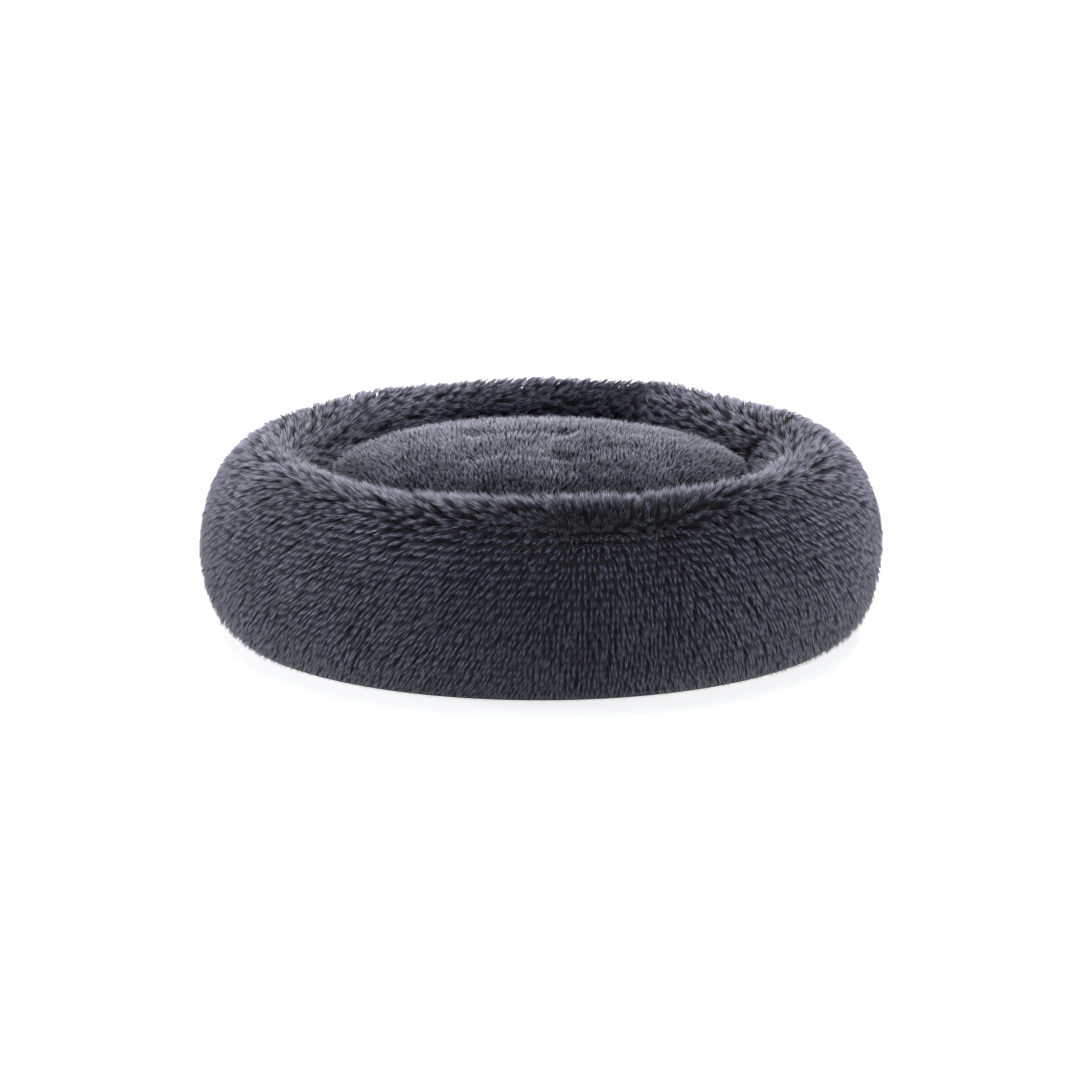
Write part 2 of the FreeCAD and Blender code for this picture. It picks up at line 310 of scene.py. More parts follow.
def ribbed_finish(name, low, high, pitch):
    """Ribbed tape that runs round the bed: ribs cross its length."""
    f = Finish(name, Roughness=0.8)
    around, z = f.around()
    turns = TAPE_RADIUS * 2 * math.pi / pitch
    rib = (around * turns).wave() * 0.5 + 0.5
    slant = (around * (turns / 2) + z * (2 * math.pi / (3 * pitch))).wave() * 0.5 + 0.5
    f.feed("Base Color", f.mix(rib * 0.6 + slant * 0.4, low, high))
    f.relief(rib * 0.6 + slant * 0.4, 0.12 * MM)
    return f.material


def rubber_finish():
    f = Finish("silicone_grip_dots", Roughness=0.45)
    grain = f.speckle(900.0)
    dust = f.speckle(25.0, 3.0)
    f.feed("Base Color", f.mix(dust, (0.05, 0.05, 0.056), (0.11, 0.11, 0.115)))
    f.relief(grain, 0.05 * MM)
    return f.material


def metal_finish():
    """Dark lacquer, rubbed through to the zinc here and there."""
    f = Finish("lacquered_zip_metal", Roughness=0.35)
    worn = f.speckle(700.0, 4.0).step(0.64, 0.76)
    f.feed("Base Color", f.mix(worn, (0.03, 0.03, 0.034), (0.2, 0.2, 0.21)))
    f.feed("Metallic", worn * 0.7 + 0.3)
    f.feed("Roughness", 0.32 + f.speckle(1500.0) * 0.25)
    return f.material


def plastic_finish():
    f = Finish("nylon_zip_coil", Roughness=0.4)
    f.feed("Base Color", f.mix(f.speckle(300.0), (0.025, 0.025, 0.03), (0.05, 0.05, 0.058)))
    return f.material


def thread_finish(name, low, high):
    f = Finish(name, Roughness=0.7)
    x, y, z = f.place().parts()
    twist = ((x + y * 1.7 + z * 2.3) * 9000).wave() * 0.5 + 0.5
    f.feed("Base Color", f.mix(twist, low, high))
    f.relief(twist, 0.08 * MM)
    return f.material


def fleece_finish(name, low, high, scale):
    """White fibre or non-woven cloth: a tangle of fine strands."""
    f = Finish(name, Roughness=0.95, Sheen_Weight=0.3)
    tangle = f.speckle(scale, 6.0)
    f.feed("Base Color", f.mix(tangle, low, high))
    f.relief(tangle, 0.3 * MM)
    return f.material


# ------------------------------------------------------------------ meshes
def linked(name, data):
    """A new object in the scene."""
    thing = bpy.data.objects.new(name, data)
    bpy.context.scene.collection.objects.link(thing)
    return thing


def applied(name, carrier):
    """A plain piece out of an object with live modifiers, which is taken away."""
    bpy.context.view_layer.update()
    shown = carrier.evaluated_get(bpy.context.evaluated_depsgraph_get())
    mesh = bpy.data.meshes.new_from_object(shown)
    bpy.data.objects.remove(carrier)
    return linked(name, mesh)


def tree_of(node):
    """A CAD node's faces, for finding the nearest one or casting a ray."""
    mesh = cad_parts[node].data
    return BVHTree.FromPolygons([v.co for v in mesh.vertices], [p.vertices for p in mesh.polygons])


def new_object(name, vertices, faces, material=None):
    mesh = bpy.data.meshes.new(name)
    mesh.from_pydata([tuple(v) for v in vertices], [], faces)
    mesh.validate()
    mesh.update()
    if material:
        mesh.materials.append(material)
    return linked(name, mesh)


def smooth(piece):
    piece.data.polygons.foreach_set("use_smooth", [True] * len(piece.data.polygons))
    return piece


def round_z(turn):
    """Unit vectors away from the Z axis and along a turn about it, one row for each angle."""
    flat = np.zeros_like(turn)
    away = np.stack([np.cos(turn), np.sin(turn), flat], axis=1)
    return away, np.stack([-np.sin(turn), np.cos(turn), flat], axis=1)


def spun_grid(r, z, columns):
    """A section spun about Z: the angles, and a grid of points round Z and then along the section."""
    around = np.linspace(0, 2 * math.pi, columns, endpoint=False)
    return around, np.stack([
        np.cos(around)[:, None] * r, np.sin(around)[:, None] * r, np.broadcast_to(z, (columns, len(z))),
    ], axis=2)


def lumps(cloth, floor, *waves):
    """Lumps in filled cloth, in metres, that fade towards the floor; each wave has a scale and a height."""
    rise = np.array([
        [sum(noise.noise(Vector(p) * scale) * height for scale, height in waves) for p in column]
        for column in cloth
    ])
    return rise * MM * np.clip((cloth[:, :, 2] - floor) / LUMP_FADE, 0, 1)


def grid_normals(points, closed):
    """Unit normals of a grid of points: across the first index, then along the second."""
    if closed:
        along = np.roll(points, -1, 0) - np.roll(points, 1, 0)
    else:
        along = np.gradient(points, axis=0)
    up = np.gradient(points, axis=1)
    normal = np.cross(along, up)
    return normal / np.maximum(np.linalg.norm(normal, axis=2, keepdims=True), 1e-12)


def shell(name, outer, inner, material, closed=False):
    """A closed shell between two grids of points, the second behind the first."""
    columns, rows = outer.shape[:2]
    vertices = np.concatenate([outer.reshape(-1, 3), inner.reshape(-1, 3)])
    back = columns * rows

    def at(i, j, side):
        return (i % columns) * rows + j + side * back

    faces = []
    for i in range(columns if closed else columns - 1):
        for j in range(rows - 1):
            faces.append((at(i, j, 0), at(i + 1, j, 0), at(i + 1, j + 1, 0), at(i, j + 1, 0)))
            faces.append((at(i, j, 1), at(i, j + 1, 1), at(i + 1, j + 1, 1), at(i + 1, j, 1)))
        last = rows - 1
        faces.append((at(i, 0, 1), at(i + 1, 0, 1), at(i + 1, 0, 0), at(i, 0, 0)))
        faces.append((at(i, last, 0), at(i + 1, last, 0), at(i + 1, last, 1), at(i, last, 1)))
    if not closed:
        end = columns - 1
        for j in range(rows - 1):
            faces.append((at(0, j, 0), at(0, j + 1, 0), at(0, j + 1, 1), at(0, j, 1)))
            faces.append((at(end, j, 1), at(end, j + 1, 1), at(end, j + 1, 0), at(end, j, 0)))
    return smooth(new_object(name, vertices, faces, material))


def inflate(vertices, faces, held, cap):
    """Blows a closed cloth up with its held corners pinned; no corner moves further than cap."""
    piece = new_object("inflating", vertices, faces)
    pins = piece.vertex_groups.new(name="held")
    for share in sorted(set(held)):
        pins.add([int(k) for k in np.nonzero(held == share)[0]], float(share), "REPLACE")
    cloth = piece.modifiers.new("Cloth", "CLOTH")
    settings = cloth.settings
    settings.quality = 4
    settings.vertex_group_mass = "held"
    settings.use_pressure = True
    settings.uniform_pressure_force = PRESSURE
    settings.effector_weights.gravity = 0
    settings.tension_stiffness = settings.compression_stiffness = 10
    settings.shear_stiffness = 5
    settings.bending_stiffness = 0.3
    cloth.collision_settings.use_collision = False
    cloth.point_cache.frame_start, cloth.point_cache.frame_end = 1, SWELL_STEPS
    scene = bpy.context.scene
    for step in range(1, SWELL_STEPS + 1):
        scene.frame_set(step)
    shown = piece.evaluated_get(bpy.context.evaluated_depsgraph_get())
    flat = np.empty(len(vertices) * 3)
    shown.data.vertices.foreach_get("co", flat)
    scene.frame_set(1)
    bpy.data.objects.remove(piece)
    moved = flat.reshape(-1, 3) - vertices
    size = np.linalg.norm(moved, axis=1, keepdims=True)
    return vertices + moved * np.minimum(1, cap / np.maximum(size, 1e-9))


# ------------------------------------------------------------------ the rim's cloth
RIM_COLUMNS = 320
RIM_ROWS = 60
RIM_FLOOR_ROWS = 12


def rim_cloth(rim):
    """The backing cloth of the whole rim as a grid of points: round the bed, then over the section."""
    r, z = rim.section(RIM_PILE, RIM_ROWS)
    across = np.linspace(0, 1, RIM_FLOOR_ROWS + 2)[1:-1]
    r_all = np.concatenate([r, r[-1] + (r[0] - r[-1]) * across])
    z_all = np.concatenate([z, np.full(RIM_FLOOR_ROWS, rim.foot)])
    around, points = spun_grid(r_all, z_all, RIM_COLUMNS)
    rows = len(z_all)
    faces = [
        (i * rows + j, (i + 1) % RIM_COLUMNS * rows + j,
         (i + 1) % RIM_COLUMNS * rows + (j + 1) % rows, i * rows + (j + 1) % rows)
        for i in range(RIM_COLUMNS) for j in range(rows)
    ]
    held = np.zeros((RIM_COLUMNS, rows))
    held[:, RIM_ROWS - 2:] = 1.0
    held[:, :2] = 1.0
    for seam in seams():
        near = np.abs(turn_between(around, seam)) < 1.5 * 2 * math.pi / RIM_COLUMNS
        held[near] = np.maximum(held[near], 0.5)
    blown = inflate(points.reshape(-1, 3), faces, held.ravel(), SWELL)
    cloth = blown.reshape(RIM_COLUMNS, rows, 3)[:, :RIM_ROWS]
    push = np.zeros(cloth.shape[:2])
    for seam in seams():
        gap = turn_between(around, seam)[:, None] * rim.radius
        inner = smoothstep(np.arange(RIM_ROWS) / RIM_ROWS, 0.52, 0.62)
        push -= SEAM_DEPTH * (1 + 2 * inner) * np.exp(-(gap / (SEAM_WIDTH * (1 + inner))) ** 2)
    push += lumps(cloth, rim.foot, (9, 3), (24, 1.2))
    return clear_of(cloth + grid_normals(cloth, True) * push[:, :, None], "rim_liner_bag")


def clear_of(cloth, node):
    """Pushes a grid of cloth out of a CAD node that lies behind it."""
    behind = tree_of(node)
    normals = grid_normals(cloth, True)
    for place, normal in zip(cloth.reshape(-1, 3), normals.reshape(-1, 3)):
        near = behind.find_nearest(place)[0]
        room = (place - np.array(near)) @ normal
        place += normal * max(0.0, CLOTH + 0.4 * MM - room)
    return cloth


def seams():
    """Where the four panels are sewn together, round Z."""
    return [PARTING + k * math.pi / 2 for k in range(len(PANELS))]


def turn_between(around, start):
    """Signed turn from start, between minus half a turn and half a turn."""
    return (np.asarray(around) - start + math.pi) % (2 * math.pi) - math.pi


def sample(grid, i, j):
    """A grid's values at fractional places; the first index runs round and round."""
    columns, rows = grid.shape[:2]
    i0, j0 = np.floor(i).astype(int), np.clip(np.floor(j).astype(int), 0, rows - 2)
    fi, fj = (i - i0)[:, None], (j - j0)[:, None]
    i0, i1 = i0 % columns, (i0 + 1) % columns
    low = grid[i0, j0] * (1 - fi) + grid[i1, j0] * fi
    high = grid[i0, j0 + 1] * (1 - fi) + grid[i1, j0 + 1] * fi
    return low * (1 - fj) + high * fj


def rim_panels(rim, cloth, material):
    """Four sewn panels: closed shells of backing cloth that meet at the seams."""
    normals = grid_normals(cloth, True)
    for k, side in enumerate(PANELS):
        start = seams()[k] / (2 * math.pi) * RIM_COLUMNS
        places = np.linspace(start, start + RIM_COLUMNS / 4, RIM_COLUMNS // 4 + 1)
        i, j = np.meshgrid(places, np.arange(RIM_ROWS), indexing="ij")
        shape = (*i.shape, 3)
        outer = sample(cloth, i.ravel(), j.ravel()).reshape(shape)
        behind = sample(normals, i.ravel(), j.ravel()).reshape(shape)
        panel = shell(f"rim_cloth_{side}", outer, outer - behind * CLOTH, material)
        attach(panel, "rim")
        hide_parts(f"rim_fur_{side}")


# ------------------------------------------------------------------ fur
def start_tree(name, values):
    """A tree that takes a mesh, some named values and a material. Gives its nodes and its inputs."""
    tree = bpy.data.node_groups.new(name, "GeometryNodeTree")
    face = tree.interface
    face.new_socket("Geometry", in_out="INPUT", socket_type="NodeSocketGeometry")
    for label, value in values.items():
        kind = "NodeSocketInt" if isinstance(value, int) else "NodeSocketFloat"
        face.new_socket(label, in_out="INPUT", socket_type=kind).default_value = value
    face.new_socket("Material", in_out="INPUT", socket_type="NodeSocketMaterial")
    face.new_socket("Geometry", in_out="OUTPUT", socket_type="NodeSocketGeometry")
    n = Nodes(tree)
    source = tree.nodes.new("NodeGroupInput")
    return n, {s.name: Wire(n, s) for s in source.outputs if s.name}


def end_tree(n, given, geometry):
    """Gives the geometry its material and hands it out."""
    done = n.shape("SetMaterial", {"Geometry": geometry, "Material": given["Material"]})
    sink = n.tree.nodes.new("NodeGroupOutput")
    n.tree.links.new(done.socket, sink.inputs[0])
    return n.tree


def strand_tree():
    """Grows strands out of the corners of a mesh, which hold each tuft's normal, lie, length and tone; on
    the rim the tone also holds painted light and shade.
    """
    n, given = start_tree("Pile", {
        "Strands": 8, "Width": 0.5 * MM, "Spread": 2.4 * MM, "Gather": 0.6, "Splay": 0.12,
        "Stand": 0.4, "Tone Width": 0.03, "Floor": 0.0, "Seed": 1,
    })

    def named(name, kind="FLOAT_VECTOR"):
        return n.shape("InputNamedAttribute", {"Name": name}, "Attribute", data_type=kind)

    def store(geometry, name, value, kind="FLOAT_VECTOR", domain="POINT"):
        sockets = {"Geometry": geometry, "Name": name, "Value": value}
        return n.shape("StoreNamedAttribute", sockets, data_type=kind, domain=domain)

    def chance(offset, low, high):
        """A random number for each strand."""
        return n.add(
            "FunctionNodeRandomValue", {"data_type": "FLOAT"},
            {2: low, 3: high, "ID": number, "Seed": given["Seed"] + offset}, 1,
        )

    def scatter(offset):
        """A random vector for each strand, each part from -1 to 1."""
        return n.add(
            "FunctionNodeRandomValue", {"data_type": "FLOAT_VECTOR"},
            {0: (-1, -1, -1), 1: (1, 1, 1), "ID": number, "Seed": given["Seed"] + offset}, 0,
        )

    points = n.shape("MeshToPoints", {"Mesh": given["Geometry"]}, "Points", mode="VERTICES")
    points = n.shape(
        "DuplicateElements", {"Geometry": points, "Amount": given["Strands"]}, domain="POINT"
    )
    number = n.shape("InputIndex", {}, "Index")
    normal, length = named("normal"), named("length", "FLOAT")
    jitter = scatter(1) * given["Spread"]
    jitter = jitter - normal * jitter.dot(normal)
    place = n.shape("InputPosition", {}, "Position")
    own = length * chance(2, 0.88, 1.06)
    reach = named("lie") * own + scatter(3) * (own * given["Splay"]) - jitter * given["Gather"]
    points = store(points, "reach", reach)
    points = store(points, "lead", normal * (own * given["Stand"]))
    points = store(points, "side", scatter(4))
    tone = named("tone", "FLOAT") + chance(5, -0.22, 0.22)
    points = store(points, "tone", tone.least(1.0).most(0.0), "FLOAT")
    points = store(points, "root", place + jitter)
    sizes = {"Vertices": 3, "Side Segments": 2, "Radius Top": 0.0, "Radius Bottom": 1.0, "Depth": 1.0}
    cone = n.shape("MeshCone", sizes, "Mesh", fill_type="NONE")
    cone = store(cone, "local", n.shape("InputPosition", {}, "Position"))
    fur = n.shape("InstanceOnPoints", {"Points": points, "Instance": cone}, "Instances")
    fur = n.shape("RealizeInstances", {"Geometry": fur})
    x, y, t = named("local").parts()
    lead, reach = named("lead"), named("reach")
    line = named("root") + lead * (t * 2 * (1 - t)) + reach * (t * t)
    line_x, line_y, line_z = line.parts()
    line = n.vector(line_x, line_y, line_z.most(given["Floor"]))
    ahead = (lead * (1 - t * 2) + reach * t).unit()
    first = ahead.cross(named("side")).unit()
    second = ahead.cross(first)
    body = (first * x + second * y) * (given["Width"] * (1 + t * 2))
    fur = n.shape("SetPosition", {"Geometry": fur, "Position": line + body})
    across = named("tone", "FLOAT") * (1 - given["Tone Width"]) + (x * 0.5 + 0.5) * given["Tone Width"]
    fur = store(fur, "OFBake", n.vector(across, t), "FLOAT2", "CORNER")
    fur = n.shape("SetShadeSmooth", {"Geometry": fur})
    return end_tree(n, given, fur)


def grown(name, tree, field, **inputs):
    """Runs a tree on a mesh and gives the result as a plain piece."""
    carrier = linked(name + "_field", field)
    modifier = carrier.modifiers.new(tree.name, "NODES")
    modifier.node_group = tree
    for item in tree.interface.items_tree:
        if item.in_out == "INPUT" and item.name in inputs:
            modifier[item.identifier] = inputs[item.name]
    carrier.update_tag()
    piece = applied(name, carrier)
    attributes = piece.data.attributes
    for spare in ("root", "lead", "reach", "side", "local", "tone", "normal", "lie", "length"):
        if spare in attributes:
            attributes.remove(attributes[spare])
    return piece


def loose_corners(place, **vectors):
    """A mesh of corners without faces, each of which holds some named vectors."""
    mesh = bpy.data.meshes.new("field")
    mesh.vertices.add(len(place))
    mesh.vertices.foreach_set("co", place.astype(np.float32).ravel())
    for label, values in vectors.items():
        layer = mesh.attributes.new(label, "FLOAT_VECTOR", "POINT")
        layer.data.foreach_set("vector", values.astype(np.float32).ravel())
    return mesh


def tuft_field(place, normal, lie, length, tone):
    """A mesh of loose corners, one for each tuft."""
    mesh = loose_corners(place, normal=normal, lie=lie)
    for label, values in (("length", length), ("tone", tone)):
        layer = mesh.attributes.new(label, "FLOAT", "POINT")
        layer.data.foreach_set("value", values.astype(np.float32))
    return mesh


def drift(points, scale, seed):
    """Slow random vectors over the surface, for fur that was brushed this way and that."""
    offset = Vector((seed * 3.7, seed * 1.3, seed * 2.1))
    return np.array([noise.noise_vector(Vector(p) * scale + offset) for p in points])


def unit(vectors):
    return vectors / np.maximum(np.linalg.norm(vectors, axis=1, keepdims=True), 1e-12)


def smoothstep(values, low, high):
    t = np.clip((values - low) / (high - low), 0, 1)
    return t * t * (3 - 2 * t)


TUFT_COLUMN = 5.4 * MM  # between tufts, round the bed
TUFT_ROW = 8.2 * MM  # and over the section
TUFT_SPREAD = 2.9 * MM  # how far from a tuft's middle its strands are rooted
RIM_LENGTH = 22 * MM
WALL_FLOOR = 0.8 * MM  # the wall's fur stays this far above the floor
# Shares of the section, from the outer to the inner foot, over which one lie turns into the next
WALL_END = (0.41, 0.50)
CREST_END = (0.55, 0.68)
INNER_START = (0.56, 0.70)
DEEP_START = (0.66, 0.80)
COMBED_OUT = ((0.32, 0.45), (0.50, 0.60))  # over the edge, at the bed's sides
CREASE = ((0.46, 0.56), (0.8, 0.9))  # where the fur parts over the right seam
CREASE_WIDTH = 0.10  # radians that its fur leans away over
CREASE_CORE = 0.045  # radians that its fur is short over
SIDES = (0.14, 0.30)  # metres from the middle, left or right
FRONT = (0.1, 0.25)  # metres to the front, and for the back to the back
CREST_EXTRA = 6.5 * MM  # the fur stands longer over the front crest
ZONES = (  # name, section from and to, radius that sets the columns, jitter, and how its tufts grow
    ("wall", 0.0, 0.42, 0.365, 0.16, {"Strands": 7, "Gather": 0.85, "Splay": 0.07, "Width": 0.5 * MM}),
    ("crest", 0.42, 0.58, 0.31, 0.5, {"Strands": 10, "Gather": 0.3, "Splay": 0.1, "Width": 0.4 * MM}),
    ("inner", 0.58, 0.78, 0.25, 0.5, {"Strands": 9, "Gather": 0.2, "Splay": 0.12, "Width": 0.42 * MM}),
    ("low", 0.78, 1.0, 0.24, 0.5, {"Strands": 2, "Gather": 0.3, "Splay": 0.15, "Width": 0.8 * MM}),
)


def rim_fur(rim, cloth, tree, material):
    normals = grid_normals(cloth, True)
    run = np.linalg.norm(np.diff(cloth[0], axis=0), axis=1).sum()
    rng = np.random.default_rng(7)
    bay = zip_bay("rim_zip")
    base = float(corners("base_cloth")[:, 2].max()) + 0.5 * MM
    for k, side in enumerate(PANELS):
        for zone, low, high, radius, loose, growth in ZONES:
            columns = int(radius * math.pi / 2 / TUFT_COLUMN)
            rows = int(run * (high - low) / TUFT_ROW)
            i, j = np.meshgrid(np.arange(columns) + 0.5, np.arange(rows) + 0.5, indexing="ij")
            i, j = i.ravel(), j.ravel()
            i = i + rng.uniform(-loose, loose, i.size)
            j = j + rng.uniform(-loose, loose, i.size)
            around = seams()[k] + i / columns * math.pi / 2
            over = low + (high - low) * j / rows
            gi = around / (2 * math.pi) * RIM_COLUMNS
            gj = over * (RIM_ROWS - 1)
            place = sample(cloth, gi, gj)
            normal = unit(sample(normals, gi, gj))
            floor = WALL_FLOOR if zone == "wall" else base
            lie, length, tone = rim_lie(place, normal, around, over, rng, floor)
            keep = ~bay(place)
            field = tuft_field(place[keep], normal[keep], lie[keep], length[keep], tone[keep])
            piece = grown(
                f"rim_fur_{side}_{zone}", tree, field, Spread=TUFT_SPREAD, Seed=100 * k + rows,
                Floor=floor, Material=material, **growth,
            )
            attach(piece, "rim")
            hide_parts(f"rim_fur_{side}")


def rim_lie(place, normal, around, over, rng, floor):
    """Which way each tuft lies, how long it is, and its tone: random, plus painted light and shade on the
    crest and inner wall.
    """
    sideways = smoothstep(np.abs(place[:, 0]), *SIDES)
    front, behind = smoothstep(-place[:, 1], *FRONT), smoothstep(place[:, 1], *FRONT)
    wobble = drift(place, 6, 9)[:, 0] * 0.03 - 0.04 * sideways
    wall = 1 - smoothstep(over + wobble, *WALL_END)
    crest = (1 - wall) * (1 - smoothstep(over, *CREST_END))
    inner = smoothstep(over, *INNER_START)
    deep = smoothstep(over, *DEEP_START)
    crease = smoothstep(over, *CREASE[0]) * (1 - smoothstep(over, *CREASE[1]))
    beside = turn_between(around, seams()[1])

    # along the rim, away from the parting and less where the two halves meet
    left = (around - PARTING) % (2 * math.pi) > MEETING - PARTING
    outward, turning = round_z(around)
    tangent = np.where(left, -1, 1)[:, None] * turning
    opened = smoothstep(np.abs(turn_between(around, PARTING)), 0.0, 0.6)
    closed = 0.45 + 0.55 * smoothstep(np.abs(turn_between(around, MEETING)), 0.0, 0.14)
    wall_lay, crest_lay = np.where(left, 0.8, 0.2), np.where(left, 0.85, 0.6)
    lay = opened * closed * (wall_lay * wall + crest_lay * crest + (0.9 + 0.5 * deep) * inner)

    # down the rim, out over the edge at the sides, and apart at the crease
    down = np.array([0, 0, -1.0])
    fall = down - normal * (normal @ down)[:, None]
    droop = 1.15 * wall + 0.35 * crest + 0.6 * deep
    outward -= normal * (normal * outward).sum(1)[:, None]
    combed = sideways * smoothstep(over, *COMBED_OUT[0]) * (1 - smoothstep(over, *COMBED_OUT[1]))
    parted = np.sign(beside) * np.exp(-(beside / CREASE_WIDTH) ** 2) * crease
    fall = fall * droop[:, None] + outward * combed[:, None] + turning * (1.1 * parted)[:, None]

    brushed = (0.08 + 0.1 * crest + 0.06 * inner)[:, None]
    swirl = drift(place, 14, 1) * 0.25 + drift(place, 50, 2) * brushed
    lie = normal + fall + tangent * lay[:, None] + swirl
    lie = unit(lie + rng.normal(0, 0.07, lie.shape))

    length = RIM_LENGTH + CREST_EXTRA * crest * front * left * opened
    length *= 1 - 0.15 * sideways * crest - 0.5 * crease * np.exp(-(beside / CREASE_CORE) ** 2)
    length *= rng.uniform(0.9, 1.08, len(place)) * (0.75 + 0.25 * smoothstep(over, 0.0, 0.12))
    lie = off_floor(place, lie, length, floor, 0.02 if floor == WALL_FLOOR else 0.18)

    tone = 0.5 + rng.normal(0, 0.12, len(place)) + drift(place, 20, 3)[:, 0] * 0.25
    # Painted light and shade: the crest's tufts are lighter at the back and darker overall and at the
    # sides, and the inner wall's are lighter at the back and much darker at the sides, standing for how the
    # lamps fall there.
    tone += (0.35 * behind - 0.08 - 0.22 * sideways) * crest
    tone += (0.25 * behind - 0.46 * sideways) * inner
    return lie, length, np.clip(tone, 0, 1)


def off_floor(place, lie, length, floor, spare=0.18):
    """Lifts the tips of fur that would lie under the floor, by a share of their length more."""
    lowest = (floor + spare * length - place[:, 2]) / length
    lie = lie.copy()
    lie[:, 2] = np.maximum(lie[:, 2], lowest)
    return lie


def zip_bay(name):
    """Where a zip runs through the fur: true for tufts that would grow there."""
    tapes = corners(name + "_tape_upper", name + "_tape_lower")
    turns = np.arctan2(tapes[:, 1], tapes[:, 0])
    reach = np.hypot(tapes[:, 0], tapes[:, 1]).min() - 20 * MM
    low, high = tapes[:, 2].min() - 3 * MM, tapes[:, 2].max() + 3 * MM
    start, end = turns.min() - 0.01, turns.max() + 0.01

    def inside(place):
        spot = np.arctan2(place[:, 1], place[:, 0])
        near = (spot > start) & (spot < end) & (np.hypot(place[:, 0], place[:, 1]) > reach)
        return near & (place[:, 2] > low) & (place[:, 2] < high)

    return inside


# ------------------------------------------------------------------ the cushion
CUSHION_COLUMNS = 192
CUSHION_RINGS = 56
DIMPLE_WIDTH = 14 * MM
DIMPLE_DEPTH = 4 * MM


def tie_spots():
    """Where the ties come up through the cushion: the middle of each upper knot."""
    spots = corners("cushion_tack_ties")
    return middles(spots[spots[:, 2] > spots[:, 2].max() - 12 * MM])


def cushion_profile():
    """Radius and height of the cushion's outline over the fur, from its foot to the axis."""
    cover = tree_of("cushion_fur_cover")
    spots = corners("cushion_fur_cover")
    foot = spots[:, 2].min()
    foot_radius = np.hypot(*spots[spots[:, 2] < foot + 0.05 * MM, :2].T).max()
    middle = Vector((0, 0, spots[:, 2].max() / 2))
    outline = [(foot_radius, foot)]
    lowest = math.atan2(foot - middle.z, foot_radius)
    for angle in np.linspace(lowest, math.pi / 2, 500)[1:-1]:
        away = Vector((math.cos(angle), 0, math.sin(angle)))
        hit = cover.ray_cast(middle + away, -away)[0]
        outline.append((hit.x, hit.z))
    return np.array(outline + [(0.0, spots[:, 2].max())])


def cushion_cloth():
    """The cushion's backing cloth as a grid: round the cushion, then from the foot to the middle."""
    outline = cushion_profile()
    run = np.concatenate([[0], np.cumsum(np.hypot(*np.diff(outline, axis=0).T))])
    even = np.linspace(0, run[-1] - 1.5 * MM, CUSHION_RINGS)
    r = np.interp(even, run, outline[:, 0])
    z = np.interp(even, run, outline[:, 1])
    slope = np.gradient(np.stack([r, z], 1), axis=0)
    slope /= np.linalg.norm(slope, axis=1, keepdims=True)
    inset = CUSHION_PILE * smoothstep(even, 0, 25 * MM)
    r, z = r - slope[:, 1] * inset, z + slope[:, 0] * inset
    points = spun_grid(r, z, CUSHION_COLUMNS)[1]
    dimple = np.zeros(points.shape[:2])
    high = points[:, :, 2] > z.max() - 40 * MM
    for spot in tie_spots():
        gap = np.hypot(points[:, :, 0] - spot[0], points[:, :, 1] - spot[1])
        dimple = np.maximum(dimple, np.exp(-(gap / DIMPLE_WIDTH) ** 2) * high)
    points[:, :, 2] -= dimple * DIMPLE_DEPTH
    held = np.where(dimple > 0.9, 1.0, 0.0)
    held[:, :2] = 1.0
    vertices = np.concatenate([points.reshape(-1, 3), [[0, 0, z[0]], [0, 0, z[-1]]]])
    rows, foot, tip = CUSHION_RINGS, len(vertices) - 2, len(vertices) - 1
    faces = []
    for i in range(CUSHION_COLUMNS):
        n = (i + 1) % CUSHION_COLUMNS
        faces += [
            (i * rows + j, n * rows + j, n * rows + j + 1, i * rows + j + 1) for j in range(rows - 1)
        ]
        faces.append((foot, n * rows, i * rows))
        faces.append((tip, i * rows + rows - 1, n * rows + rows - 1))
    pins = np.concatenate([held.ravel(), [1.0, 0.0]])
    blown = inflate(vertices, faces, pins, SWELL / 2)
    cloth = blown[:-2].reshape(points.shape)
    middle = smoothstep(np.arange(CUSHION_RINGS)[::-1], 0, 4)
    push = lumps(cloth, z[0], (12, 2.5), (30, 1)) * middle
    cloth = cloth + grid_normals(cloth, True) * push[:, :, None]
    return clear_of(cloth, "cushion_liner_bag")


def cushion_shell(cloth, material):
    """The cover's cloth as one closed shell, with its middle closed by a cap."""
    inner = cloth - grid_normals(cloth, True) * CLOTH
    inner[:, -1] = cloth[:, -1] - np.array([0, 0, CLOTH])
    columns, rows = cloth.shape[:2]
    vertices = np.concatenate([
        cloth.reshape(-1, 3), inner.reshape(-1, 3), [cloth[:, -1].mean(0)], [inner[:, -1].mean(0)]
    ])
    back, tip = columns * rows, len(vertices) - 2
    faces = []
    for i in range(columns):
        n = (i + 1) % columns
        for j in range(rows - 1):
            quad = (i * rows + j, n * rows + j, n * rows + j + 1, i * rows + j + 1)
            faces.append(quad)
            faces.append(tuple(k + back for k in reversed(quad)))
        faces.append((i * rows, i * rows + back, n * rows + back, n * rows))
        faces.append((tip, i * rows + rows - 1, n * rows + rows - 1))
        faces.append((tip + 1, n * rows + rows - 1 + back, i * rows + rows - 1 + back))
    piece = smooth(new_object("cushion_cloth", vertices, faces, material))
    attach(piece, "cushion")
    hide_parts("cushion_fur_cover")


CUSHION_LENGTH = 13.5 * MM
CUSHION_TUFT = 4.6 * MM  # between tufts on the top
SIDE_COLUMN = 6.5 * MM  # between tufts on the side, round it
SIDE_ROW = 8 * MM  # and up it
LOOSE = 0.3  # share of that spacing that a tuft may stray
TIE_PULL = 16 * MM  # the fur leans in towards a tie from about here
TIE_SHORT = 11 * MM  # and is short from about here
TOP_FUR = {"Strands": 5, "Width": 0.46 * MM, "Spread": 1.7 * MM}
SIDE_FUR = {"Strands": 4, "Width": 0.8 * MM, "Spread": 3.2 * MM}


